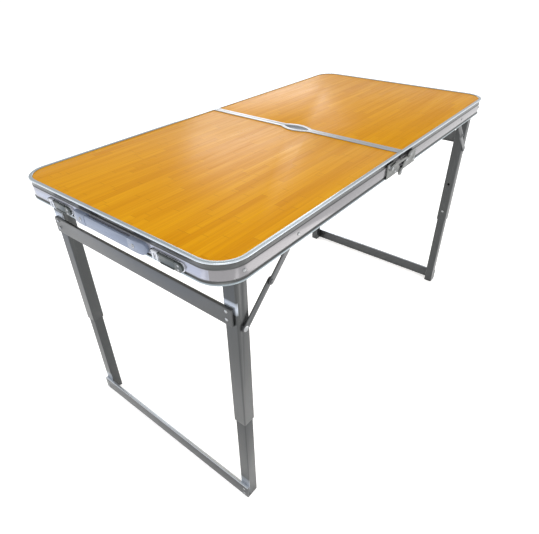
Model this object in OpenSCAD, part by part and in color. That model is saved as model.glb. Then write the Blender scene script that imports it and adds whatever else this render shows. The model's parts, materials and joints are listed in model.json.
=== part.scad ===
// Suitcase-type folding table: two framed half tops hinged at the middle, telescopic leg frames,
// folding stays, a carrying handle and two case latches.
// X runs along the table, front end at -X. Y runs across it. Z is up, and the origin is on the floor
// under the middle of the table. Suffix l is the +Y side and suffix r is the -Y side.

/* [Top] */
// Length of the opened table top
table_l = 1200; // [1140:10:1300]
// Width of the table top
table_w = 600; // [580:10:700]
// Height of the rim's upper edge above the floor
table_h = 690; // [685:1:700]
// Radius of the four outer corners
corner_r = 60; // [45:1:80]
// Thickness of the top boards
board_t = 4; // [3:0.5:4]

/* [Legs] */
// Distance from the table's end to the middle of the leg
leg_inset = 58.5; // [57:0.5:61]
// Outer width of the upper leg tube
upper_tube = 30.5; // [30:0.5:31]
// Wall thickness of both leg tubes
tube_wall = 2.2; // [1.8:0.1:2.4]
// Height of the top cross rail and of the foot bar
rail_h = 38; // [30:1:39]
// Thickness of the top cross rail
rail_t = 6.5; // [5:0.5:6.5]
// Radius of the snap buttons
button_r = 4; // [3:0.5:5]

/* [Stays] */
// Width of the stay links
stay_w = 15; // [12:1:16]
// Thickness of the stay links
stay_t = 2.5; // [2:0.1:2.5]

/* [Front end hardware] */
// Overall length of the carrying handle
handle_l = 220; // [200:2:224]
// Height of the handle's end mounts
handle_h = 23; // [21:0.5:23]
// Length of each case latch
latch_l = 80; // [70:1:84]

/* [Hidden] */
$fn = 48;

alu = "Silver";
dark_steel = "DimGray";
bright_steel = "Gainsboro";
leg_grey = "DarkGray";
bamboo = "Goldenrod";
handle_plastic = "SlateGray";

half_l = table_l / 2;
half_w = table_w / 2;
seam_gap = 0.4;
fit_gap = 0.05;

// Rim section. Its first number is the distance outward from the lip edge, its second the height.
rim_h = 45;
lip_in = 8.5;
wall_in = 6;
band_in = 3;
band_top = 16;
band_bottom = 36;
ledge_z = 7.3;
ledge_t = 1.5;
board_edge = 6.3;
board_top = 1.5;
RIM_SECTION = [
    [-lip_in, -1.5], [-lip_in, -0.6], [-7.5, 0], [-1.6, 0], [-0.4, -0.5], [0, -1.6], [0, -2.6],
    [-0.6, -3.6], [-2.4, -6.5], [-3.7, -10.5], [-4.2, -14.8], [-band_in, -band_top],
    [-band_in, -band_bottom], [-4.4, -37], [-4.4, -39.2], [-2.8, -40.6], [-1.8, -42.2], [-1.8, -44],
    [-2.6, -rim_h], [-wall_in, -rim_h], [-wall_in, -ledge_z], [-15, -ledge_z],
    [-15, -ledge_z + ledge_t], [-wall_in, -ledge_z + ledge_t], [-wall_in, -1.5]
];

// Lens-shaped plate round the umbrella hole, and the hole in it.
lens_half_l = 54;
lens_half_w = 24;
hole_half_l = 40;
hole_half_w = 14;
collar_h = 15;
trim_w = 11;
trim_t = 1.5;

// Legs
leg_x = half_l - leg_inset;
leg_y = half_w - 34.5;
leg_out_y = leg_y + upper_tube / 2;
leg_top_z = -8.5;
leg_bottom_z = -420;
pivot_z = -23;
bolt_r = 4;
tube_gap = 0.2;
lower_tube = upper_tube - 2 * tube_wall - 2 * tube_gap;
lower_top_z = -350;
cap_t = 3;
tube_corner_r = 3;
rail_top_z = -110;
rail_end_y = leg_out_y - 7;
foot_bar_t = 7;
button_z = -385;
button_proud = 2.2;
height_hole_z = -282;

// Stays: the lower end on the leg, the upper end on the half top, and the middle pivot between them.
stay_drop = 136;
stay_leg_z = pivot_z - stay_drop;
stay_top_x = half_l - 205;
stay_top_z = pivot_z;
stay_run = leg_x - stay_top_x;
stay_rise = stay_top_z - stay_leg_z;
stay_open_l = sqrt(stay_run * stay_run + stay_rise * stay_rise);
stay_folded_l = stay_top_x - leg_x + stay_drop;
lower_link_l = (stay_open_l + stay_folded_l) / 2;
upper_link_l = stay_open_l - lower_link_l;
stay_angle = atan2(stay_rise, stay_run);
lower_link_y = leg_out_y + 2.5;
upper_link_y = lower_link_y + stay_t + 1;
stay_pin_r = 3.5;
stay_head_r = 6;
wall_y = half_w - wall_in;
bracket_t = 2.5;
bracket_top_z = -10;
bracket_bottom_z = -40;

// Middle hinges
knuckle_z = -47;
knuckle_r = 9;
hinge_l = 72;
hinge_plate_t = 1.8;
front_plate_s = -1.6;
rear_plate_s = 0.3;
hinge_pin_r = 2.5;
hook_s = 2.7;
hook_t = 1.8;
hook_x = -56;
hook_z = -21;
catch_x = 15;
catch_z = -24;
catch_r = 2.5;

// Front end hardware. Depths are counted outward from the rim's main band.
band_x = half_l - band_in;
handle_mid_y = -15;
mount_l = 45;
mount_d = 10.5;
handle_mid_z = -28;
grip_axis_d = 7.5;
grip_axis_z = -35;
grip_t = 5;
grip_pin_r = 2;
latch_l_y = 145;
latch_r_y = -173.5;
latch_base_t = 1.2;
latch_rod_d = 4;
latch_rod_z = -23.5;
latch_rod_r = 1.2;
latch_barrel_r = 2.3;
latch_mid_z = -31;
latch_h = 19;
latch_cap_y = -21;
lever_end_y = 18;

// ---------- placing ----------

// Moves a shape given from the lip plane down to its height above the floor.
module at_top() {
    translate([0, 0, table_h]) children();
}

// Turns a shape made for the front half into the rear half's.
module rear() {
    mirror([1, 0, 0]) children();
}

// Keeps a shape on the +Y side or mirrors it to the -Y side.
module side(s) {
    if (s > 0) children();
    else mirror([0, 1, 0]) children();
}

module both_sides() {
    children();
    mirror([0, 1, 0]) children();
}

// A cylinder along Y from y0 to y1 at x, z.
module rod_y(x, z, y0, y1, r) {
    translate([x, y1, z]) rotate([90, 0, 0]) cylinder(r = r, h = y1 - y0);
}

// A cylinder along X from x0 to x1 at y, z.
module rod_x(y, z, x0, x1, r) {
    translate([x0, y, z]) rotate([0, 90, 0]) cylinder(r = r, h = x1 - x0);
}

// A plate in the XZ plane from y0 to y1 with the given outline.
module plate_y(points, y0, y1) {
    translate([0, y1, 0]) rotate([90, 0, 0]) linear_extrude(y1 - y0) polygon(points);
}

// A shallow domed rivet head on a face, standing out along +Z.
module rivet_head(r, h) {
    rotate_extrude() polygon([[0, 0], [r, 0], [r, h * 0.35], [r * 0.7, h * 0.85], [r * 0.3, h], [0, h]]);
}

// ---------- rim, board and seam ----------

module rim_corner(side_y) {
    side(side_y)
        translate([-(half_l - corner_r), half_w - corner_r, 0])
            rotate([0, 0, 90])
                rotate_extrude(angle = 90)
                    polygon([for (p = RIM_SECTION) [corner_r + p[0], p[1]]]);
}

module rim_long_side(side_y) {
    side(side_y)
        translate([-(half_l - corner_r), half_w, 0])
            rotate([90, 0, 90])
                linear_extrude(half_l - corner_r - seam_gap)
                    polygon(RIM_SECTION);
}

module rim_end() {
    translate([-half_l, half_w - corner_r, 0])
        rotate([90, 0, 0])
            linear_extrude(table_w - 2 * corner_r)
                polygon([for (p = RIM_SECTION) [-p[0], p[1]]]);
}

module rim() {
    color(alu)
        at_top() {
            rim_end();
            for (s = [1, -1]) {
                rim_corner(s);
                rim_long_side(s);
            }
        }
}

// Lens made of two arcs, for the given half length and half width.
module lens(half_length, half_width) {
    arc_r = (half_length * half_length + half_width * half_width) / (2 * half_width);
    intersection() {
        translate([arc_r - half_width, 0]) circle(r = arc_r, $fn = 180);
        translate([half_width - arc_r, 0]) circle(r = arc_r, $fn = 180);
    }
}

module board() {
    edge_r = corner_r - board_edge;
    edge_x = half_l - board_edge;
    edge_y = half_w - board_edge;
    seam_x = 2.3;
    color(bamboo)
        at_top()
            translate([0, 0, -board_top - board_t])
                linear_extrude(board_t)
                    difference() {
                        union() {
                            translate([-edge_x + edge_r, -edge_y])
                                square([edge_x - edge_r - seam_x, 2 * edge_y]);
                            translate([-edge_x, -edge_y + edge_r])
                                square([edge_r, 2 * (edge_y - edge_r)]);
                            for (s = [1, -1])
                                translate([-edge_x + edge_r, s * (edge_y - edge_r)])
                                    circle(r = edge_r, $fn = 96);
                        }
                        lens(lens_half_l - 8, lens_half_w - 3);
                    }
}

module half_plane() {
    translate([-200, -200]) square([200 - seam_gap, 400]);
}

module seam_trim() {
    run = half_w - lip_in - 0.1;
    low_run = half_w - 15.2;
    color(alu)
        at_top()
            difference() {
                union() {
                    translate([-trim_w, -run, -trim_t]) cube([trim_w - seam_gap, 2 * run, trim_t]);
                    translate([-2, -low_run, -7]) cube([2 - seam_gap, 2 * low_run, 6]);
                    translate([-trim_w, -low_run, -7]) cube([trim_w - seam_gap, 2 * low_run, 1.2]);
                    translate([0, 0, -trim_t])
                        linear_extrude(trim_t)
                            intersection() {
                                lens(lens_half_l, lens_half_w);
                                half_plane();
                            }
                    translate([0, 0, -collar_h])
                        linear_extrude(collar_h)
                            intersection() {
                                lens(hole_half_l + 5, hole_half_w + 1.5);
                                half_plane();
                            }
                }
                translate([0, 0, -collar_h - 1])
                    linear_extrude(collar_h + 2)
                        lens(hole_half_l, hole_half_w);
            }
}

// ---------- brackets, bolts and rivets of one half ----------

// Plate on the rim's inner wall, with an outline in X and Y.
module wall_plate(outline) {
    translate([0, 0, bracket_bottom_z])
        linear_extrude(bracket_top_z - bracket_bottom_z)
            polygon(outline);
}

// Plate that follows the wall into the corner, with a boss that reaches in to the leg.
module leg_brackets() {
    plate_y = wall_y - bracket_t;
    corner_x = half_l - corner_r;
    end_x = leg_x + 7.5;
    wall_r = corner_r - wall_in;
    end_y = half_w - corner_r + sqrt(wall_r * wall_r - pow(end_x - corner_x, 2)) - 0.05;
    color(bright_steel)
        at_top()
            both_sides()
                difference() {
                    union() {
                        wall_plate([
                            [-end_x, plate_y], [-leg_x + 36, plate_y], [-leg_x + 36, wall_y],
                            [-corner_x, wall_y], [-end_x, end_y]
                        ]);
                        rod_y(-leg_x, pivot_z, leg_out_y + 1, plate_y + 0.01, 7.5);
                    }
                    rod_y(-leg_x, pivot_z, leg_out_y, wall_y + 1, bolt_r);
                }
}

module pivot_bolts() {
    inner_y = leg_out_y - upper_tube;
    color(bright_steel)
        at_top()
            both_sides() {
                rod_y(-leg_x, pivot_z, inner_y - 0.4, wall_y - 0.4, bolt_r);
                rod_y(-leg_x, pivot_z, inner_y - 3.4, inner_y - 0.4, bolt_r + 3);
            }
}

// Bracket with the upper stay's pin and the pin's flat head.
module stay_brackets() {
    plate_y = wall_y - bracket_t;
    color(bright_steel)
        at_top()
            both_sides() {
                wall_plate([
                    [-stay_top_x - 20, plate_y], [-stay_top_x + 20, plate_y],
                    [-stay_top_x + 20, wall_y], [-stay_top_x - 20, wall_y]
                ]);
                rod_y(-stay_top_x, stay_top_z, upper_link_y + stay_t + 0.6, plate_y + 0.01, 6);
                rod_y(-stay_top_x, stay_top_z, upper_link_y - 0.2, plate_y, stay_pin_r);
                rod_y(-stay_top_x, stay_top_z, upper_link_y - 0.5, upper_link_y - 0.1, stay_head_r);
            }
}

// Rivets through the rim's outer face: one in the corner at the leg bracket, one at the stay bracket.
module rim_rivets() {
    head_r = 3.4;
    head_h = 1.6;
    color(bright_steel)
        at_top()
            both_sides() {
                translate([-(half_l - corner_r), half_w - corner_r, -25])
                    rotate([0, 0, 9])
                        translate([0, corner_r - band_in, 0])
                            rotate([-90, 0, 0])
                                rivet_head(head_r, head_h);
                translate([-stay_top_x - 10, half_w - band_in, -27])
                    rotate([-90, 0, 0])
                        rivet_head(head_r, head_h);
            }
}

// ---------- middle hinges ----------

// Outline of a hinge plate with its knuckle, drawn for the front half.
module hinge_outline() {
    polygon([
        [-hinge_l, -9.5], [-40, -10], [-32, -14], [-14, -26], [-6, -34],
        [-6, 1 - rim_h], [-hinge_l, 1 - rim_h]
    ]);
    translate([0, knuckle_z]) circle(r = knuckle_r);
}

module hinge_plate(s0) {
    pad_end = 17;
    difference() {
        union() {
            translate([0, half_w + s0 + hinge_plate_t, 0])
                rotate([90, 0, 0])
                    linear_extrude(hinge_plate_t)
                        hinge_outline();
            plate_y(
                [[-hinge_l + 1, -band_top - 0.5], [-36, -band_top - 0.5], [-pad_end, -28],
                 [-pad_end, -band_bottom + 0.5], [-hinge_l + 1, -band_bottom + 0.5]],
                half_w - band_in, half_w + s0 + 0.01);
        }
        rod_y(0, knuckle_z, half_w - 10, half_w + 10, hinge_pin_r + fit_gap);
    }
}

// Rivet heads on a hinge plate whose outer face is at y.
module hinge_rivets(y, places) {
    for (p = places)
        translate([p[0], y - 0.01, p[1]])
            rotate([-90, 0, 0])
                rivet_head(3.6, 1.4);
}

module front_hinge_plate(s) {
    face_y = half_w + front_plate_s + hinge_plate_t;
    color(dark_steel)
        at_top()
            side(s) {
                hinge_plate(front_plate_s);
                hinge_rivets(face_y, [[-64, -16], [-28, -37]]);
                rod_y(hook_x, hook_z, face_y - 0.01, half_w + hook_s - 0.1, 5);
                rod_y(hook_x, hook_z, half_w, half_w + hook_s + hook_t + 0.2, 3);
                rod_y(hook_x, hook_z, half_w + hook_s + hook_t + 0.1, half_w + hook_s + hook_t + 1.2, 4);
            }
}

module rear_hinge_plate(s) {
    face_y = half_w + rear_plate_s + hinge_plate_t;
    color(dark_steel)
        at_top()
            side(s) {
                rear() hinge_plate(rear_plate_s);
                hinge_rivets(face_y, [[28, -25], [45, -18], [64, -35]]);
                rod_y(catch_x, catch_z, face_y - 0.01, half_w + hook_s + hook_t + 0.6, catch_r);
            }
}

module hinge_pins() {
    outer_y = half_w + rear_plate_s + hinge_plate_t;
    color(bright_steel)
        at_top()
            both_sides() {
                rod_y(0, knuckle_z, half_w + front_plate_s + 0.05, outer_y + 0.2, hinge_pin_r);
                rod_y(0, knuckle_z, outer_y + 0.15, outer_y + 1.4, hinge_pin_r + 2);
            }
}

// Strap that pivots on the front plate and rests over the catch of the rear plate.
module lock_hook(s) {
    y0 = half_w + hook_s;
    tip_x = catch_x + 9;
    rest_z = catch_z + catch_r + 0.3;
    color(bright_steel)
        at_top()
            side(s)
                difference() {
                    union() {
                        plate_y(
                            [[hook_x, hook_z + 7], [hook_x + 18, hook_z + 9], [catch_x - 12, rest_z + 7],
                             [tip_x - 3, rest_z + 7], [tip_x, rest_z + 4], [tip_x, rest_z],
                             [catch_x - 8, rest_z], [hook_x + 24, hook_z + 1], [hook_x, hook_z - 7]],
                            y0, y0 + hook_t);
                        rod_y(hook_x, hook_z, y0, y0 + hook_t, 7);
                        translate([tip_x - 9, y0, rest_z + 5]) cube([8, 7, 2]);
                    }
                    rod_y(hook_x, hook_z, y0 - 1, y0 + hook_t + 1, 3 + fit_gap);
                }
}

// ---------- legs ----------

// Square with rounded corners, centred.
module round_square(w, r) {
    square([w - 2 * r, w], center = true);
    square([w, w - 2 * r], center = true);
    for (sx = [1, -1], sy = [1, -1])
        translate([sx * (w / 2 - r), sy * (w / 2 - r)]) circle(r = r);
}

module tube(w, wall, corner) {
    difference() {
        round_square(w, corner);
        round_square(w - 2 * wall, max(corner - wall, 0.6));
    }
}

// The upper end is rounded about the pivot so that it clears the board as the leg folds.
module upper_leg(s) {
    inner_x = -leg_x + upper_tube / 2;
    turn_r = 16;
    color(leg_grey)
        at_top()
            side(s)
                difference() {
                    translate([-leg_x, leg_y, leg_bottom_z])
                        linear_extrude(leg_top_z - leg_bottom_z)
                            tube(upper_tube, tube_wall, tube_corner_r);
                    difference() {
                        translate([-leg_x - upper_tube, leg_y - upper_tube, pivot_z])
                            cube([2 * upper_tube, 2 * upper_tube, upper_tube]);
                        rod_y(-leg_x, pivot_z, leg_y - upper_tube - 1, leg_y + upper_tube + 1, turn_r);
                    }
                    rod_y(-leg_x, pivot_z, 0, half_w, bolt_r + fit_gap);
                    for (z = [button_z, height_hole_z])
                        rod_x(leg_y, z, inner_x - 6, inner_x + 5, button_r + 0.2);
                }
}

module lower_leg(s) {
    inner_x = -leg_x + lower_tube / 2;
    color(leg_grey)
        at_top()
            side(s)
                difference() {
                    translate([-leg_x, leg_y, -table_h + cap_t])
                        linear_extrude(table_h - cap_t + lower_top_z)
                            tube(lower_tube, tube_wall, tube_corner_r - 1);
                    rod_x(leg_y, button_z, inner_x - 6, inner_x + 5, button_r + 0.4);
                }
}

// Cross section of the top rail and foot bar: a flat bar with a shallow step along each edge.
module bar_section(t, h) {
    step = 4;
    polygon([
        [0, 0], [-t + 1.2, 0], [-t, 1.2], [-t, h - 1.2], [-t + 1.2, h], [0, h],
        [0, h - step], [-1.2, h - step], [-1.2, step], [0, step]
    ]);
}

module top_rail() {
    color(leg_grey)
        at_top()
            translate([-leg_x - upper_tube / 2, rail_end_y, rail_top_z - rail_h])
                rotate([90, 0, 0])
                    linear_extrude(2 * rail_end_y)
                        bar_section(rail_t, rail_h);
}

module rail_rivets() {
    face_x = -leg_x - upper_tube / 2 - rail_t;
    color(bright_steel)
        at_top()
            both_sides()
                for (z = [rail_top_z - 7, rail_top_z - 25])
                    translate([face_x, rail_end_y - 12, z])
                        rotate([0, -90, 0])
                            rivet_head(3.6, 1.4);
}

module foot_bar() {
    end_y = leg_y + lower_tube / 2;
    color(leg_grey)
        translate([-leg_x - lower_tube / 2, end_y, 0])
            rotate([90, 0, 0])
                linear_extrude(2 * end_y)
                    bar_section(foot_bar_t, rail_h);
}

module foot_rivets() {
    face_x = -leg_x - lower_tube / 2 - foot_bar_t;
    color(bright_steel)
        both_sides()
            for (z = [11, rail_h - 11])
                translate([face_x, leg_y + 2, z])
                    rotate([0, -90, 0])
                        rivet_head(3.2, 1.2);
}

module foot_caps() {
    color("DarkSlateGray")
        both_sides()
            translate([-leg_x, leg_y, 0]) {
                linear_extrude(cap_t) round_square(lower_tube, tube_corner_r - 1);
                translate([0, 0, cap_t - 0.01])
                    linear_extrude(18)
                        round_square(lower_tube - 2 * tube_wall - 0.2, 1);
            }
}

// Spring button in the upper tube's inner face. It stops at the tube's inner surface.
module snap_button(s) {
    inner_face = -leg_x + upper_tube / 2;
    color(bright_steel)
        at_top()
            side(s)
                translate([inner_face - tube_wall, leg_y, button_z])
                    rotate([0, 90, 0])
                        rotate_extrude()
                            polygon([
                                [0, 0], [button_r, 0], [button_r, tube_wall + 0.9],
                                [button_r * 0.8, tube_wall + button_proud - 0.4],
                                [button_r * 0.4, tube_wall + button_proud], [0, tube_wall + button_proud]
                            ]);
}

// ---------- stays ----------

// Flat link with round ends from the origin along +X.
module link_outline(length) {
    square([length, stay_w]);
    translate([0, stay_w / 2]) circle(d = stay_w);
    translate([length, stay_w / 2]) circle(d = stay_w);
}

module link(x, z, angle, length, y) {
    translate([x, y + stay_t, z])
        rotate([0, -angle, 0])
            translate([0, 0, -stay_w / 2])
                rotate([90, 0, 0])
                    linear_extrude(stay_t)
                        link_outline(length);
}

module lower_stays() {
    mid_x = -leg_x + lower_link_l * cos(stay_angle);
    mid_z = stay_leg_z + lower_link_l * sin(stay_angle);
    color(leg_grey)
        at_top()
            both_sides()
                difference() {
                    union() {
                        link(-leg_x, stay_leg_z, stay_angle, lower_link_l, lower_link_y);
                        rod_y(mid_x, mid_z, lower_link_y + stay_t - 0.1, lower_link_y + stay_t + 0.45, 4);
                    }
                    rod_y(-leg_x, stay_leg_z, lower_link_y - 1, lower_link_y + stay_t + 1,
                        stay_pin_r + fit_gap);
                }
}

module upper_stays() {
    mid_x = -leg_x + lower_link_l * cos(stay_angle);
    mid_z = stay_leg_z + lower_link_l * sin(stay_angle);
    outer_y = upper_link_y + stay_t;
    color(leg_grey)
        at_top()
            both_sides()
                difference() {
                    union() {
                        link(-stay_top_x, stay_top_z, stay_angle + 180, upper_link_l, upper_link_y);
                        rod_y(mid_x, mid_z, upper_link_y - 0.45, upper_link_y + 0.1, 4);
                        rod_y(mid_x, mid_z, outer_y - 0.1, outer_y + 1.6, 4.5);
                    }
                    rod_y(-stay_top_x, stay_top_z, upper_link_y - 1, outer_y + 1, stay_pin_r + fit_gap);
                }
}

// Pins of the lower stays, riveted to the upper leg tubes.
module stay_leg_pins() {
    color(bright_steel)
        at_top()
            both_sides() {
                rod_y(-leg_x, stay_leg_z, leg_out_y, lower_link_y + stay_t + 0.3, stay_pin_r);
                rod_y(-leg_x, stay_leg_z, leg_out_y, lower_link_y - 0.3, stay_head_r);
                rod_y(-leg_x, stay_leg_z, lower_link_y + stay_t + 0.1, lower_link_y + stay_t + 0.4,
                    stay_head_r);
            }
}

// ---------- carrying handle ----------

// Moves a shape drawn at the middle of the end's main band, at a place y along it.
module at_end(y) {
    at_top() translate([-band_x, y, 0]) children();
}

// A block from depth d0 to d1 with an outline drawn in Y and Z.
module end_block(d0, d1) {
    translate([-d1, 0, 0])
        rotate([90, 0, 90])
            linear_extrude(d1 - d0)
                children();
}

// End mount with a round outer end that slopes down to the rim.
module handle_mount(s) {
    end_y = handle_l / 2;
    start_y = end_y - mount_l;
    slope_l = 28;
    low_d = 3;
    color(handle_plastic)
        at_end(handle_mid_y)
            side(s)
                difference() {
                    intersection() {
                        end_block(0, mount_d) {
                            translate([start_y, handle_mid_z - handle_h / 2])
                                square([mount_l - handle_h / 2, handle_h]);
                            translate([end_y - handle_h / 2, handle_mid_z])
                                circle(d = handle_h);
                        }
                        translate([0, 0, handle_mid_z - handle_h / 2 - 1])
                            linear_extrude(handle_h + 2)
                                polygon(concat(
                                    [[1, start_y], [-mount_d, start_y]],
                                    [for (a = [0:10:90])
                                        [-low_d - (mount_d - low_d) * cos(a),
                                             end_y - slope_l + slope_l * sin(a)]],
                                    [[1, end_y]]));
                    }
                    rod_y(-grip_axis_d, grip_axis_z, start_y - 1, start_y + 8.5, grip_pin_r + fit_gap);
                }
}

module handle_screws() {
    screw_y = handle_l / 2 - mount_l + 14;
    color(bright_steel)
        at_end(handle_mid_y)
            both_sides()
                translate([-mount_d, screw_y, handle_mid_z])
                    rotate([0, -90, 0])
                        difference() {
                            rivet_head(4.2, 1.2);
                            for (a = [0, 90])
                                rotate([0, 0, a])
                                    translate([-2.2, -0.4, 0.5])
                                        cube([4.4, 0.8, 2]);
                        }
}

// Grip with a hollowed upper edge, hung on two pins in the mounts.
module handle_grip() {
    half_grip = handle_l / 2 - mount_l - 0.5;
    low_z = handle_mid_z - handle_h / 2;
    dip = 0.6;
    color(handle_plastic)
        at_end(handle_mid_y) {
            end_block(grip_axis_d - grip_t / 2, grip_axis_d + grip_t / 2)
                polygon(concat(
                    [[-half_grip, low_z], [half_grip, low_z]],
                    [for (i = [10:-1:-10])
                        [half_grip * i / 10, low_z + handle_h - dip * pow(cos(i * 9), 0.6)]]));
            both_sides()
                rod_y(-grip_axis_d, grip_axis_z, half_grip - 0.1, half_grip + 8, grip_pin_r);
        }
}

// ---------- case latches ----------

// Base plate with a round end, a raised cap, two lugs and the rod the lever and claw turn on.
module latch_base(y) {
    half_latch = latch_l / 2;
    round_r = latch_h / 2;
    color(dark_steel)
        at_end(y) {
            end_block(0, latch_base_t) {
                translate([-half_latch + round_r, latch_mid_z - round_r])
                    square([latch_l - round_r, latch_h]);
                translate([-half_latch + round_r, latch_mid_z])
                    circle(r = round_r);
            }
            end_block(latch_base_t - 0.01, latch_rod_d + 1.6) {
                translate([-half_latch + round_r + 1, latch_mid_z - round_r + 1])
                    square([latch_cap_y + half_latch - round_r - 1, latch_h - 2]);
                translate([-half_latch + round_r + 1, latch_mid_z])
                    circle(r = round_r - 1);
            }
            for (lug_y = [lever_end_y + 1, half_latch - 2.5])
                end_block(latch_base_t - 0.01, latch_rod_d + 1.6)
                    translate([lug_y, latch_rod_z - 3])
                        square([2.4, 5]);
            rod_y(-latch_rod_d, latch_rod_z, latch_cap_y - 1, half_latch - 1, latch_rod_r);
            for (z = [-4, 4])
                translate([-latch_rod_d - 1.6, -half_latch + 11, latch_mid_z + z])
                    rotate([0, -90, 0])
                        rivet_head(2.4, 0.9);
        }
}

// Barrel round the rod from y0 to y1, open for the rod.
module latch_barrel(y0, y1) {
    rod_y(-latch_rod_d, latch_rod_z, y0, y1, latch_barrel_r);
}

// Lever that hangs from the rod over the base plate.
module latch_lever(y) {
    y0 = latch_cap_y + 0.5;
    y1 = lever_end_y + 0.5;
    color(dark_steel)
        at_end(y)
            difference() {
                union() {
                    latch_barrel(y0, y1);
                    end_block(latch_rod_d - 1, latch_rod_d + 1)
                        translate([y0, latch_mid_z - latch_h / 2 + 0.5])
                            square([y1 - y0, latch_rod_z - latch_mid_z + latch_h / 2 - 0.5]);
                    end_block(latch_rod_d + 0.9, latch_rod_d + 2.2)
                        translate([y0 + 3, latch_mid_z - latch_h / 2 + 0.5])
                            square([y1 - y0 - 6, 2]);
                }
                rod_y(-latch_rod_d, latch_rod_z, y0 - 1, y1 + 1, latch_rod_r + fit_gap);
            }
}

// Claw with two prongs whose tips turn in towards the rim.
module latch_claw(y) {
    y0 = lever_end_y + 4;
    y1 = latch_l / 2 - 3;
    prong_w = 4;
    tip_z = latch_mid_z - latch_h / 2 + 2;
    color(bright_steel)
        at_end(y)
            difference() {
                union() {
                    latch_barrel(y0, y1);
                    for (p = [y0, y1 - prong_w]) {
                        end_block(latch_rod_d - 1, latch_rod_d + 1)
                            translate([p, tip_z])
                                square([prong_w, latch_rod_z - tip_z]);
                        end_block(latch_base_t + 0.4, latch_rod_d)
                            translate([p, tip_z])
                                square([prong_w, 2]);
                    }
                }
                rod_y(-latch_rod_d, latch_rod_z, y0 - 1, y1 + 1, latch_rod_r + fit_gap);
            }
}

// Keepers on the rear end, where the claws reach when the table is folded shut.
module latch_keepers() {
    keeper_w = 16;
    claw_mid = (lever_end_y + 4 + latch_l / 2 - 3) / 2;
    color(bright_steel)
        rear()
            for (y = [latch_l_y, latch_r_y])
                at_end(y + claw_mid) {
                    end_block(0, latch_base_t)
                        translate([-keeper_w / 2, latch_mid_z - latch_h / 2])
                            square([keeper_w, latch_h]);
                    end_block(latch_base_t - 0.01, latch_base_t + 3)
                        translate([-keeper_w / 2, latch_mid_z - latch_h / 2 + 3])
                            square([keeper_w, 2]);
                    for (p = [-5, 5])
                        translate([-latch_base_t, p, latch_mid_z + 6])
                            rotate([0, -90, 0])
                                rivet_head(2.2, 0.9);
                }
}

// ---------- nodes ----------

board();  // front_panel
rim();  // front_rim
seam_trim();  // front_seam_trim
leg_brackets();  // front_leg_brackets
stay_brackets();  // front_stay_brackets
rim_rivets();  // front_rim_rivets
front_hinge_plate(1);  // front_hinge_plate_l
front_hinge_plate(-1);  // front_hinge_plate_r
hinge_pins();
pivot_bolts();  // front_pivot_bolts
handle_mount(1);  // handle_mount_l
handle_mount(-1);  // handle_mount_r
handle_screws();
latch_base(latch_l_y);  // latch_base_l
latch_base(latch_r_y);  // latch_base_r
rear() board();  // rear_panel
rear() rim();  // rear_rim
rear() seam_trim();  // rear_seam_trim
rear() leg_brackets();  // rear_leg_brackets
rear() stay_brackets();  // rear_stay_brackets
rear() rim_rivets();  // rear_rim_rivets
rear_hinge_plate(1);  // rear_hinge_plate_l
rear_hinge_plate(-1);  // rear_hinge_plate_r
rear() pivot_bolts();  // rear_pivot_bolts
latch_keepers();
upper_leg(1);  // front_upper_leg_l
upper_leg(-1);  // front_upper_leg_r
top_rail();  // front_top_rail
rail_rivets();  // front_rail_rivets
stay_leg_pins();  // front_stay_pins
rear() upper_leg(1);  // rear_upper_leg_l
rear() upper_leg(-1);  // rear_upper_leg_r
rear() top_rail();  // rear_top_rail
rear() rail_rivets();  // rear_rail_rivets
rear() stay_leg_pins();  // rear_stay_pins
lower_leg(1);  // front_lower_leg_l
lower_leg(-1);  // front_lower_leg_r
foot_bar();  // front_foot_bar
foot_caps();  // front_foot_caps
foot_rivets();  // front_foot_rivets
rear() lower_leg(1);  // rear_lower_leg_l
rear() lower_leg(-1);  // rear_lower_leg_r
rear() foot_bar();  // rear_foot_bar
rear() foot_caps();  // rear_foot_caps
rear() foot_rivets();  // rear_foot_rivets
lower_stays();  // front_lower_stays
upper_stays();  // front_upper_stays
rear() lower_stays();  // rear_lower_stays
rear() upper_stays();  // rear_upper_stays
snap_button(1);  // front_snap_button_l
snap_button(-1);  // front_snap_button_r
rear() snap_button(1);  // rear_snap_button_l
rear() snap_button(-1);  // rear_snap_button_r
handle_grip();
latch_lever(latch_l_y);  // latch_lever_l
latch_lever(latch_r_y);  // latch_lever_r
latch_claw(latch_l_y);  // latch_claw_l
latch_claw(latch_r_y);  // latch_claw_r
lock_hook(1);  // lock_hook_l
lock_hook(-1);  // lock_hook_r
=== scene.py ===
import json
import math

import bmesh
import bpy
from mathutils import Matrix, Vector


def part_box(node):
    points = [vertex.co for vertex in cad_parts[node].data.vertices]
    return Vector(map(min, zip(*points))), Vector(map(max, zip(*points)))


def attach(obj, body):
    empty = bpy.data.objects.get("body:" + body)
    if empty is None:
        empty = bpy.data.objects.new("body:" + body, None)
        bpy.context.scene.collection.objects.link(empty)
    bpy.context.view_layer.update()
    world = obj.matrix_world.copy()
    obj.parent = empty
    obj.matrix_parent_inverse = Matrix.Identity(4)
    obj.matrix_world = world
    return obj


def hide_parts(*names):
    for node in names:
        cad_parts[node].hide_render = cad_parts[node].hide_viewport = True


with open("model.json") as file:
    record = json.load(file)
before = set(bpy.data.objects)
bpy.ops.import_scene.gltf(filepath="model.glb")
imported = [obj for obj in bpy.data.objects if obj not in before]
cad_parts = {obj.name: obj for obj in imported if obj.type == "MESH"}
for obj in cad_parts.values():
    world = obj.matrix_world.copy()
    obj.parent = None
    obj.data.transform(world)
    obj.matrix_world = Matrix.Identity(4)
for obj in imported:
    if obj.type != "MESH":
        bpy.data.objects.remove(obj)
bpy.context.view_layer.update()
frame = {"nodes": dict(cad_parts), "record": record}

MM = 0.001
RECORD = frame["record"]
BODY_OF = {node: body for body, nodes in RECORD["behaviour"]["bodies"].items() for node in nodes}

# ---------------------------------------------------------------- dimensions, from the frame

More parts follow.
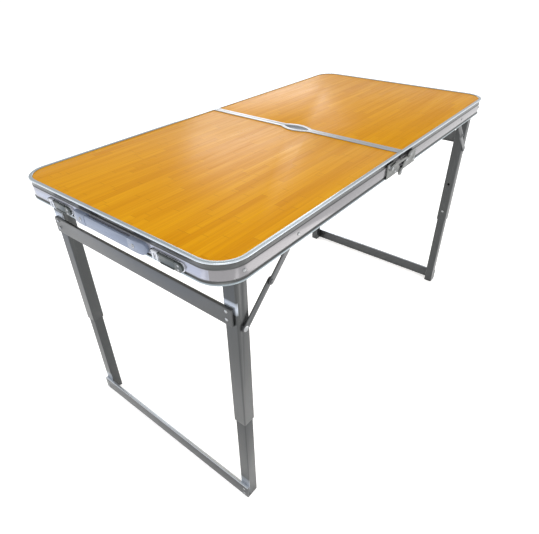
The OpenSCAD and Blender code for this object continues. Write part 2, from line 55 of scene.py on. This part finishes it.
rim_low, rim_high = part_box("front_rim")
HALF_L = -rim_low.x
HALF_W = rim_high.y
TOP_Z = rim_high.z
SEAM_X = -rim_high.x
CORNER_R = 60 * MM
leg_low, leg_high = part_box("front_upper_leg_l")
LEG_X = -(leg_low.x + leg_high.x) / 2
RAIL_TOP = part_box("front_top_rail")[1].z
FOOT_BAR_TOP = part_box("front_foot_bar")[1].z

# Where the colour changes on one mesh: just inside the legs' outer faces, where lighter reflections are
# painted; the rivet heads; the latch base's plate; and how squarely a rim face must look along X to get the
# end band's painted reflection.
LEG_OUTER_X = LEG_X + 11.6 * MM
FRONT_RIVET_HEAD_Y = HALF_W + 0.35 * MM
REAR_RIVET_HEAD_Y = HALF_W + 2.25 * MM
LATCH_RIVET_HEAD_X = HALF_L + 2.7 * MM
LATCH_BASE_FACE_X = HALF_L - 1.7 * MM
END_FACING = 0.93
BEVEL_ANGLE = math.radians(38)


# ---------------------------------------------------------------- material building blocks

PAINTED_LIGHT = (0.46, 0.50, 0.56)
FINE_LINES, SLOW_LINES = 2600.0, 3.0


def new_material(name, color, metallic=0.0, roughness=0.5, **sockets):
    """A Principled material; returns it with its node tree and shader."""
    material = bpy.data.materials.new(name)
    material.use_nodes = True
    tree = material.node_tree
    shader = tree.nodes["Principled BSDF"]
    shader.inputs["Base Color"].default_value = (*color, 1)
    shader.inputs["Metallic"].default_value = metallic
    shader.inputs["Roughness"].default_value = roughness
    for socket, value in sockets.items():
        shader.inputs[socket.replace("_", " ")].default_value = value
    return material, tree, shader


def add(tree, kind, **values):
    """Adds a node and sets its properties, or its inputs by name."""
    node = tree.nodes.new(kind)
    for key, value in values.items():
        if hasattr(node, key):
            setattr(node, key, value)
        else:
            node.inputs[key.replace("_", " ")].default_value = value
    return node


def math_node(tree, operation, a, b=None, clamp=False):
    """One Math node on two values, each a socket or a number; returns its output."""
    node = tree.nodes.new("ShaderNodeMath")
    node.operation = operation
    node.use_clamp = clamp
    for socket, value in zip(node.inputs, (a, b)):
        if value is None:
            continue
        if isinstance(value, (int, float)):
            socket.default_value = value
        else:
            tree.links.new(value, socket)
    return node.outputs[0]


def mix_color(tree, factor, a, b, blend="MIX"):
    """A colour Mix node; a, b and factor are sockets or constants."""
    node = tree.nodes.new("ShaderNodeMix")
    node.data_type = "RGBA"
    node.blend_type = blend
    for socket, value in ((node.inputs[0], factor), (node.inputs[6], a), (node.inputs[7], b)):
        if isinstance(value, (int, float)):
            socket.default_value = value
        elif isinstance(value, tuple):
            socket.default_value = (*value, 1)
        else:
            tree.links.new(value, socket)
    return node.outputs[2]


def stretched_noise(tree, scale, detail=4.0, roughness=0.55):
    """Noise in object space with its own scale along X, Y and Z."""
    where = add(tree, "ShaderNodeTexCoord")
    mapping = add(tree, "ShaderNodeMapping")
    mapping.inputs["Scale"].default_value = scale
    noise = add(tree, "ShaderNodeTexNoise", Detail=detail, Roughness=roughness, Scale=1.0)
    tree.links.new(where.outputs["Object"], mapping.inputs["Vector"])
    tree.links.new(mapping.outputs["Vector"], noise.inputs["Vector"])
    return noise.outputs["Fac"]


def remap(tree, value, low, high):
    """Maps 0..1 to low..high."""
    node = add(tree, "ShaderNodeMapRange")
    node.inputs["To Min"].default_value = low
    node.inputs["To Max"].default_value = high
    tree.links.new(value, node.inputs["Value"])
    return node.outputs["Result"]


def bump(tree, shader, height, strength, distance):
    """Raises the shader's surface by a height value."""
    node = add(tree, "ShaderNodeBump", Strength=strength, Distance=distance)
    tree.links.new(height, node.inputs["Height"])
    tree.links.new(node.outputs["Normal"], shader.inputs["Normal"])


def drawn_metal(name, color, roughness, direction, streak=0.08, wear=0.12, metallic=1.0,
                relief=0.12, painted_light_at=()):
    """Extruded metal with fine draw lines along one axis and slow blotches of wear.

    painted_light_at lists lighter zones on the legs' outer faces, each a height and how far it
    fades. They are plain colour, painted in place of reflections that the lights here don't give.
    """
    material, tree, shader = new_material(name, color, metallic=metallic, roughness=roughness)
    scale = [FINE_LINES] * 3
    scale["XYZ".index(direction)] = SLOW_LINES
    lines = stretched_noise(tree, scale, detail=2.0)
    blotch = stretched_noise(tree, (14, 14, 14), detail=5.0)
    rough = math_node(tree, "ADD", remap(tree, lines, roughness - streak, roughness + streak),
                      remap(tree, blotch, -wear / 2, wear / 2), clamp=True)
    tree.links.new(rough, shader.inputs["Roughness"])
    dark = tuple(c * 0.86 for c in color)
    surface = mix_color(tree, blotch, dark, color)
    for level, fade in painted_light_at:
        surface = mix_color(tree, painted_zone(tree, level, fade), surface, PAINTED_LIGHT)
    tree.links.new(surface, shader.inputs["Base Color"])
    bump(tree, shader, lines, relief, 0.0002)
    return material


def painted_zone(tree, level, fade):
    """1 at the given height on the legs' outer faces, fading to 0 above and below."""
    where = add(tree, "ShaderNodeTexCoord")
    split = add(tree, "ShaderNodeSeparateXYZ")
    tree.links.new(where.outputs["Object"], split.inputs[0])
    height = math_node(tree, "DIVIDE", math_node(tree, "SUBTRACT", split.outputs["Z"], level), fade)
    falling = math_node(tree, "SUBTRACT", 1.0, math_node(tree, "ABSOLUTE", height), clamp=True)
    along = math_node(tree, "ABSOLUTE", split.outputs["X"])
    outer = math_node(tree, "GREATER_THAN", along, LEG_OUTER_X)
    return math_node(tree, "MULTIPLY", math_node(tree, "POWER", falling, 0.5), outer)


def cast_metal(name, color, roughness, grain=420.0, metallic=1.0):
    """Pressed or plated steel with a fine mottled surface."""
    material, tree, shader = new_material(name, color, metallic=metallic, roughness=roughness)
    mottle = stretched_noise(tree, (grain, grain, grain), detail=3.0)
    blotch = stretched_noise(tree, (60, 60, 60), detail=4.0)
    tree.links.new(remap(tree, mottle, roughness - 0.07, roughness + 0.1), shader.inputs["Roughness"])
    dark = tuple(c * 0.7 for c in color)
    tree.links.new(mix_color(tree, blotch, dark, color), shader.inputs["Base Color"])
    bump(tree, shader, mottle, 0.15, 0.0002)
    return material


def moulded_plastic(name, color, roughness):
    """Moulded plastic with a faint orange-peel surface."""
    material, tree, shader = new_material(name, color, roughness=roughness)
    peel = stretched_noise(tree, (700, 700, 700), detail=2.0)
    blotch = stretched_noise(tree, (35, 35, 35), detail=3.0)
    tree.links.new(remap(tree, blotch, roughness - 0.06, roughness + 0.08), shader.inputs["Roughness"])
    light = tuple(min(1.0, c * 1.18) for c in color)
    tree.links.new(mix_color(tree, blotch, color, light), shader.inputs["Base Color"])
    bump(tree, shader, peel, 0.12, 0.0002)
    return material


def bamboo_laminate():
    """Printed bamboo parquet: narrow strips along X with staggered ends, fine fibres and nodes."""
    strip_w, strip_l = 15 * MM, 260 * MM
    material, tree, shader = new_material("bamboo_laminate", (0.5, 0.21, 0.004), roughness=0.36,
                                          Specular_IOR_Level=0.03)
    where = add(tree, "ShaderNodeTexCoord")
    split = add(tree, "ShaderNodeSeparateXYZ")
    tree.links.new(where.outputs["Object"], split.inputs[0])
    across = math_node(tree, "DIVIDE", split.outputs["Y"], strip_w)
    row = math_node(tree, "FLOOR", across)
    in_row = math_node(tree, "FRACT", across)

    def random_of(a, b=None):
        """White noise from one or two whole numbers."""
        vector = add(tree, "ShaderNodeCombineXYZ")
        tree.links.new(a, vector.inputs[0])
        if b is not None:
            tree.links.new(b, vector.inputs[1])
        noise = add(tree, "ShaderNodeTexWhiteNoise")
        noise.noise_dimensions = "3D"
        tree.links.new(vector.outputs[0], noise.inputs["Vector"])
        return noise.outputs["Value"]

    shift = math_node(tree, "MULTIPLY", random_of(row), strip_l)
    along = math_node(tree, "DIVIDE", math_node(tree, "ADD", split.outputs["X"], shift), strip_l)
    column = math_node(tree, "FLOOR", along)
    in_column = math_node(tree, "FRACT", along)
    tint = random_of(row, column)
    second_tint = random_of(column, row)

    ramp = add(tree, "ShaderNodeValToRGB")
    elements = ramp.color_ramp.elements
    elements[0].color = (0.595, 0.258, 0.001, 1)
    elements[1].color = (0.68, 0.325, 0.004, 1)
    middle = elements.new(0.5)
    middle.color = (0.635, 0.288, 0.002, 1)
    tree.links.new(tint, ramp.inputs["Fac"])

    fine = stretched_noise(tree, (7, 420, 1), detail=5.0, roughness=0.7)
    streaks = stretched_noise(tree, (4.5, 150, 1), detail=3.0, roughness=0.6)
    fibres = math_node(tree, "ADD", math_node(tree, "MULTIPLY", fine, 0.45),
                       math_node(tree, "MULTIPLY", streaks, 0.55))
    fibres = math_node(tree, "MULTIPLY", math_node(tree, "SUBTRACT", fibres, 0.36), 3.2, clamp=True)
    fibre_color = mix_color(tree, remap(tree, fibres, 0.0, 0.8), ramp.outputs["Color"],
                            mix_color(tree, 1.0, ramp.outputs["Color"], (0.80, 0.66, 0.30), "MULTIPLY"))
    clouds = stretched_noise(tree, (3.5, 11, 1), detail=3.0)
    clouded = mix_color(tree, remap(tree, clouds, 0.0, 0.25), fibre_color, (0.56, 0.27, 0.02))

    edge_y = math_node(tree, "MINIMUM", in_row, math_node(tree, "SUBTRACT", 1.0, in_row))
    edge_x = math_node(tree, "MINIMUM", in_column, math_node(tree, "SUBTRACT", 1.0, in_column))
    line_y = math_node(tree, "LESS_THAN", edge_y, 0.028)
    line_x = math_node(tree, "LESS_THAN", edge_x, 0.0022)
    joint = math_node(tree, "MAXIMUM", math_node(tree, "MULTIPLY", line_y, 0.55), line_x)
    node_at = math_node(tree, "FRACT", math_node(tree, "ADD", in_column, second_tint))
    knuckle = math_node(tree, "MULTIPLY", math_node(tree, "LESS_THAN", node_at, 0.009), 0.6)
    marks = math_node(tree, "MAXIMUM", joint, knuckle)
    final = mix_color(tree, math_node(tree, "MULTIPLY", marks, 0.40), clouded, (0.30, 0.12, 0.004))
    tree.links.new(final, shader.inputs["Base Color"])
    tree.links.new(remap(tree, fibres, 0.27, 0.42), shader.inputs["Roughness"])
    height = math_node(tree, "SUBTRACT", math_node(tree, "MULTIPLY", fibres, 0.4), marks)
    bump(tree, shader, height, 0.10, 0.0003)
    return material


def board_underside():
    """Pale grained backing of the top boards."""
    material, tree, shader = new_material("board_backing", (0.62, 0.58, 0.50), roughness=0.6)
    fibres = stretched_noise(tree, (30, 260, 1), detail=4.0)
    grained = mix_color(tree, fibres, (0.55, 0.50, 0.42), (0.68, 0.65, 0.58))
    tree.links.new(grained, shader.inputs["Base Color"])
    bump(tree, shader, fibres, 0.15, 0.0003)
    return material


# The rim's lip edge is painted lighter as a highlight, and its cove and lower groove darker as shade. The
# rim's end band, the foot bars' tops and the legs' outer faces at the rails and foot bars are the same
# metal as their neighbours, painted lighter as reflections. The legs, rails and stays are darker than bare
# metal, to suit this bright surround.
MATERIALS = {
    "laminate": bamboo_laminate(),
    "backing": board_underside(),
    "rim_lip": drawn_metal("rim_lip", (0.31, 0.355, 0.38), 0.24, "X", streak=0.04, wear=0.06),
    "rim_edge_painted_highlight": drawn_metal("rim_edge_painted_highlight", (0.64, 0.69, 0.74), 0.16, "X", streak=0.03, wear=0.05),
    "rim_band": drawn_metal("rim_band", (0.240, 0.233, 0.243), 0.17, "X", streak=0.03, wear=0.04,
                            metallic=0.5, relief=0.02),
    "end_band_painted_reflection": drawn_metal("end_band_painted_reflection", (0.33, 0.34, 0.40), 0.17, "Y", streak=0.03, wear=0.04,
                            metallic=0.4, relief=0.02),
    "rim_cove_painted_shade": drawn_metal("rim_cove_painted_shade", (0.092, 0.095, 0.095), 0.34, "X", streak=0.05, metallic=0.8),
    "seam_trim": drawn_metal("seam_trim", (0.36, 0.375, 0.39), 0.42, "Y", streak=0.05, metallic=0.9),
    "leg_tube": drawn_metal("leg_tube", (0.068, 0.071, 0.072), 0.34, "Z", metallic=0.75,
                            painted_light_at=((RAIL_TOP, 14 * MM), (FOOT_BAR_TOP, 26 * MM))),
    "leg_rail": drawn_metal("leg_rail", (0.084, 0.087, 0.089), 0.34, "Y", metallic=0.75),
    "bar_top_painted_reflection": drawn_metal("bar_top_painted_reflection", (0.50, 0.53, 0.57), 0.26, "Y", metallic=0.75),
    "stay": drawn_metal("stay_link", (0.084, 0.087, 0.090), 0.34, "X", metallic=0.75),
    "steel": cast_metal("plated_steel", (0.38, 0.39, 0.40), 0.24),
    "hinge_steel": cast_metal("hinge_steel", (0.16, 0.165, 0.158), 0.34, metallic=0.5),
    "latch_plate": cast_metal("latch_plate", (0.66, 0.68, 0.73), 0.30, metallic=0.5),
    "latch_steel": cast_metal("latch_steel", (0.075, 0.085, 0.083), 0.30, metallic=0.7),
    "handle_plastic": moulded_plastic("handle_plastic", (0.155, 0.183, 0.25), 0.22),
    "cap_plastic": moulded_plastic("cap_plastic", (0.012, 0.012, 0.013), 0.5),
}


# ---------------------------------------------------------------- mesh building blocks

def finish_piece(mesh_or_object, name, node, material_key=None, angle=32):
    """Puts a piece in place of a CAD node: same body, the given material if any, smooth faces."""
    if isinstance(mesh_or_object, bpy.types.Object):
        piece = mesh_or_object
    else:
        piece = bpy.data.objects.new(name, mesh_or_object)
        bpy.context.scene.collection.objects.link(piece)
    mesh = piece.data
    mesh.polygons.foreach_set("use_smooth", [True] * len(mesh.polygons))
    mesh.set_sharp_from_angle(angle=math.radians(angle))
    if material_key:
        mesh.materials.clear()
        mesh.materials.append(MATERIALS[material_key])
    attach(piece, BODY_OF[node])
    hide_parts(node)
    return piece


def softened_copy(node, material_key, bevel=0.35, segments=2):
    """A copy of a CAD node's solid with its flat faces joined and its edges broken."""
    source = frame["nodes"][node]
    bm = bmesh.new()
    bm.from_mesh(source.data)
    bmesh.ops.remove_doubles(bm, verts=bm.verts, dist=0.004 * MM)
    bmesh.ops.dissolve_limit(bm, angle_limit=math.radians(0.6), verts=bm.verts, edges=bm.edges)
    mesh = bpy.data.meshes.new(node + "_fine")
    bm.to_mesh(mesh)
    bm.free()
    if "custom_normal" in mesh.attributes:
        mesh.attributes.remove(mesh.attributes["custom_normal"])
    piece = bpy.data.objects.new(node + "_fine", mesh)
    bpy.context.scene.collection.objects.link(piece)
    if bevel:
        modifier = piece.modifiers.new("edges", "BEVEL")
        modifier.width = bevel * MM
        modifier.segments = segments
        modifier.limit_method = "ANGLE"
        modifier.angle_limit = BEVEL_ANGLE
        modifier.use_clamp_overlap = True
        modifier.harden_normals = False
        depsgraph = bpy.context.evaluated_depsgraph_get()
        bevelled = bpy.data.meshes.new_from_object(piece.evaluated_get(depsgraph))
        piece.modifiers.clear()
        piece.data = bevelled
    return finish_piece(piece, piece.name, node, material_key, angle=40)


def finish_where(piece, material_key, test):
    """Gives the faces that pass the test, by centre and normal, another material, such as a rivet head's
    steel or a painted reflection.
    """
    piece.data.materials.append(MATERIALS[material_key])
    for polygon in piece.data.polygons:
        if test(polygon.center, polygon.normal):
            polygon.material_index = len(piece.data.materials) - 1


def rounded(points, radius, steps=3):
    """A closed outline with each corner replaced by a small curve."""
    result = []
    count = len(points)
    for i in range(count):
        before, here, after = (Vector(points[(i + k) % count]) for k in (-1, 0, 1))
        cut = min(radius, (before - here).length * 0.45, (after - here).length * 0.45)
        start = here + (before - here).normalized() * cut
        end = here + (after - here).normalized() * cut
        for k in range(steps + 1):
            t = k / steps
            result.append(start * (1 - t) ** 2 + here * 2 * t * (1 - t) + end * t ** 2)
    return result


def skin_rings(rings, name, closed_ring=True, caps=True):
    """A mesh through rings of equal length, each a list of points."""
    bm = bmesh.new()
    made = [[bm.verts.new(p) for p in ring] for ring in rings]
    size = len(rings[0])
    for a, b in zip(made, made[1:]):
        for i in range(size if closed_ring else size - 1):
            j = (i + 1) % size
            bm.faces.new((a[i], a[j], b[j], b[i]))
    if caps:
        bm.faces.new(list(reversed(made[0])))
        bm.faces.new(made[-1])
    bmesh.ops.recalc_face_normals(bm, faces=bm.faces)
    mesh = bpy.data.meshes.new(name)
    bm.to_mesh(mesh)
    bm.free()
    return mesh


# ---------------------------------------------------------------- rim

RIM_SECTION = [
    (-8.5, -1.5), (-8.5, -0.6), (-7.5, 0), (-1.6, 0), (-0.4, -0.5), (0, -1.6), (0, -2.6),
    (-0.6, -3.6), (-2.4, -6.5), (-3.7, -10.5), (-4.2, -14.8), (-3, -16), (-3, -36), (-4.4, -37),
    (-4.4, -39.2), (-2.8, -40.6), (-1.8, -42.2), (-1.8, -44), (-2.6, -45), (-6, -45), (-6, -7.3),
    (-15, -7.3), (-15, -5.8), (-6, -5.8), (-6, -1.5),
]
# The rim's materials: the lip and the band are its finish; the edge's highlight and the end band's
# reflection are painted lighter, and the cove's shade is painted darker.
RIM_FINISHES_AND_PAINTED_LIGHT = ("rim_lip", "rim_band", "rim_cove_painted_shade", "rim_edge_painted_highlight", "end_band_painted_reflection")


def rim_finish_and_painted_light(s, z):
    """Which material a part of the rim's section gets, from its outward distance and height in mm. The
    lip's rounded outer edge gets a painted highlight, and the cove under the lip and the groove below the
    band get painted shade.
    """
    if s < -5:
        return "rim_lip" if z > -1 else "rim_band"
    if z > -2.7:
        return "rim_edge_painted_highlight" if s > -1.7 else "rim_lip"
    if z > -15.6:
        return "rim_cove_painted_shade"
    if z > -36.3:
        return "rim_band"
    return "rim_cove_painted_shade" if z > -40.9 else "rim_lip"


def rim_ring(base, outward, section):
    """The rim's section at one point of its path."""
    return [base + outward * (p.x * MM) + Vector((0, 0, p.y * MM)) for p in section]


def build_rim(side_x, node):
    """U-shaped extrusion round one half: two long sides, two corners and the end."""
    section = rounded(RIM_SECTION, 0.5, 2)
    centre_x = HALF_L - CORNER_R
    centre_y = HALF_W - CORNER_R
    corner_steps = 20
    path = [(Vector((SEAM_X, HALF_W, TOP_Z)), Vector((0, 1, 0)))]
    for side_y in (1, -1):
        centre = Vector((centre_x, side_y * centre_y, TOP_Z))
        turns = range(corner_steps + 1)
        for k in turns if side_y > 0 else reversed(turns):
            angle = math.pi / 2 * (1 - k / corner_steps)
            out = Vector((math.cos(angle), side_y * math.sin(angle), 0))
            path.append((centre + out * CORNER_R, out))
    path.append((Vector((SEAM_X, -HALF_W, TOP_Z)), Vector((0, -1, 0))))
    rings = [rim_ring(base, out, section) for base, out in path]
    rings = [[Vector((p.x * side_x, p.y, p.z)) for p in ring] for ring in rings]
    mesh = skin_rings(rings, node + "_fine")
    for key in RIM_FINISHES_AND_PAINTED_LIGHT:
        mesh.materials.append(MATERIALS[key])
    size = len(section)
    for polygon in mesh.polygons:
        if len(polygon.vertices) != 4:
            continue
        picks = {v % size for v in polygon.vertices}
        s = sum(section[i].x for i in picks) / len(picks)
        z = sum(section[i].y for i in picks) / len(picks)
        finish = rim_finish_and_painted_light(s, z)
        # Band faces looking along X, at the end, get a lighter, bluer colour: a painted reflection.
        if finish == "rim_band" and abs(polygon.normal.x) > END_FACING:
            finish = "end_band_painted_reflection"
        polygon.material_index = RIM_FINISHES_AND_PAINTED_LIGHT.index(finish)
    return finish_piece(mesh, node + "_fine", node)


# ---------------------------------------------------------------- boards

def build_board(node):
    """The CAD board with printed laminate above and on its edge, and plain backing below."""
    piece = softened_copy(node, None, bevel=0.25)
    mesh = piece.data
    mesh.materials.clear()
    mesh.materials.append(MATERIALS["laminate"])
    mesh.materials.append(MATERIALS["backing"])
    for polygon in mesh.polygons:
        polygon.material_index = 1 if polygon.normal.z < -0.5 else 0
    return piece


# ---------------------------------------------------------------- the object

for side_x, half in ((-1, "front"), (1, "rear")):
    build_rim(side_x, half + "_rim")
    build_board(half + "_panel")
    softened_copy(half + "_seam_trim", "seam_trim", bevel=0.3)
    for side in "lr":
        softened_copy(f"{half}_upper_leg_{side}", "leg_tube", bevel=0.3)
        softened_copy(f"{half}_lower_leg_{side}", "leg_tube", bevel=0.3)
        softened_copy(f"{half}_snap_button_{side}", "steel", bevel=0.2)
        plate = softened_copy(f"{half}_hinge_plate_{side}", "hinge_steel", bevel=0.3)
        head_y = FRONT_RIVET_HEAD_Y if half == "front" else REAR_RIVET_HEAD_Y
        finish_where(plate, "steel", lambda centre, normal: abs(centre.y) > head_y)
    softened_copy(half + "_top_rail", "leg_rail", bevel=0.5)
    bar = softened_copy(half + "_foot_bar", "leg_rail", bevel=0.5)
    # The foot bars' top faces get a lighter colour: a painted reflection.
    finish_where(bar, "bar_top_painted_reflection", lambda centre, normal: normal.z > 0.5 and centre.z > FOOT_BAR_TOP - 2 * MM)
    for name in ("lower_stays", "upper_stays"):
        softened_copy(f"{half}_{name}", "stay", bevel=0.3)
    for name in ("leg_brackets", "stay_brackets", "rim_rivets", "pivot_bolts", "rail_rivets",
                 "stay_pins", "foot_rivets"):
        softened_copy(f"{half}_{name}", "steel", bevel=0.15)
    softened_copy(f"{half}_foot_caps", "cap_plastic", bevel=0.5)
for side in "lr":
    softened_copy(f"handle_mount_{side}", "handle_plastic", bevel=1.2)
    base = softened_copy(f"latch_base_{side}", "latch_steel", bevel=0.3)
    finish_where(base, "steel", lambda centre, normal: -centre.x > LATCH_RIVET_HEAD_X)
    finish_where(base, "latch_plate", lambda centre, normal: -centre.x < LATCH_BASE_FACE_X)
    softened_copy(f"latch_lever_{side}", "latch_steel", bevel=0.3)
    softened_copy(f"latch_claw_{side}", "latch_plate", bevel=0.3)
    softened_copy(f"lock_hook_{side}", "hinge_steel", bevel=0.3)
softened_copy("handle_grip", "handle_plastic", bevel=1.2)
softened_copy("handle_screws", "steel", bevel=0.1)
softened_copy("hinge_pins", "steel", bevel=0.3)
softened_copy("latch_keepers", "steel", bevel=0.3)


# ---------------------------------------------------------------- camera, floor and light

def build_camera():
    """The viewing angle: azimuth about Z, elevation above the floor and a slight roll."""
    azimuth, elevation, roll = (math.radians(v) for v in (-50.88, 34.72, -1.05))
    back = Vector((math.sin(azimuth) * math.cos(elevation), -math.cos(azimuth) * math.cos(elevation),
                   math.sin(elevation)))
    level_right = Vector((math.cos(azimuth), math.sin(azimuth), 0))
    level_up = back.cross(level_right)
    right = level_right * math.cos(roll) + level_up * math.sin(roll)
    up = level_up * math.cos(roll) - level_right * math.sin(roll)
    camera = bpy.data.objects.new("camera", bpy.data.cameras.new("camera"))
    camera.data.lens = 30.54
    camera.data.sensor_width = 36
    camera.data.clip_end = 50
    place = Matrix((right, up, back)).transposed().to_4x4()
    place.translation = Vector((-0.976, -0.694, 1.0735))
    camera.matrix_world = place
    bpy.context.scene.collection.objects.link(camera)
    bpy.context.scene.camera = camera


def build_floor():
    """A white floor just under the object, with a faint glow of its own."""
    size = 12
    mesh = bpy.data.meshes.new("floor")
    corners = [(-size, -size, 0), (size, -size, 0), (size, size, 0), (-size, size, 0)]
    mesh.from_pydata(corners, [], [(0, 1, 2, 3)])
    material, _, shader = new_material("floor", (0.96, 0.96, 0.96), roughness=0.9, Emission_Strength=0.4)
    shader.inputs["Emission Color"].default_value = (1, 1, 1, 1)
    mesh.materials.append(material)
    floor = bpy.data.objects.new("floor", mesh)
    floor.location.z = -0.0005
    bpy.context.scene.collection.objects.link(floor)


def build_cards():
    """Glowing cards on the floor, outside the picture, for the rim's band to reflect."""
    for name, x, y, width, depth, turn, shade, glow in (
            ("long_side", 0.32, -1.02, 0.55, 0.75, 0, (1.0, 0.98, 0.96), 2.0),
            ("front_end", -1.35, 1.05, 0.65, 1.60, 0, (0.84, 0.90, 1.20), 0.9),
            ("front_near", -1.50, 0.12, 0.80, 0.24, 0, (1.0, 1.0, 1.05), 1.3),
            ("corner", -0.55, -1.30, 0.90, 0.20, 86, (1.0, 1.0, 1.0), 1.6)):
        mesh = bpy.data.meshes.new("card_" + name)
        corners = [(sx * width / 2, sy * depth / 2, 0) for sx, sy in ((-1, -1), (1, -1), (1, 1), (-1, 1))]
        mesh.from_pydata(corners, [], [(0, 1, 2, 3)])
        albedo = tuple(min(c, 0.9) for c in shade)
        material, _, shader = new_material("card_" + name, albedo, roughness=0.9, Emission_Strength=glow)
        shader.inputs["Emission Color"].default_value = (*shade, 1)
        mesh.materials.append(material)
        card = bpy.data.objects.new("card_" + name, mesh)
        card.location = (x, y, 0.001)
        card.rotation_euler.z = math.radians(turn)
        bpy.context.scene.collection.objects.link(card)


def area_light(name, place, target, width, height, power):
    """A rectangular lamp at one point, aimed at another; power in watts."""
    light = bpy.data.lights.new(name, "AREA")
    light.shape = "RECTANGLE"
    light.size, light.size_y = width, height
    light.energy = power
    lamp = bpy.data.objects.new(name, light)
    lamp.location = place
    lamp.rotation_euler = (Vector(target) - Vector(place)).to_track_quat("-Z", "Y").to_euler()
    bpy.context.scene.collection.objects.link(lamp)


def build_light():
    """An even white surround, a soft key light and the light whose glare lies on the top."""
    world = bpy.data.worlds.new("studio")
    bpy.context.scene.world = world
    world.use_nodes = True
    background = world.node_tree.nodes["Background"]
    background.inputs["Color"].default_value = (1, 1, 1, 1)
    background.inputs["Strength"].default_value = 1.06
    area_light("key", (-1.15, -0.85, 1.75), (-0.25, 0, 0.69), 0.9, 0.7, 4.5)
    area_light("glare", (2.15, 1.98, 1.65), (0.1, 0.1, 0.69), 1.2, 1.6, 19)


bpy.context.scene.view_settings.view_transform = "Standard"
build_camera()
build_floor()
build_cards()
build_light()
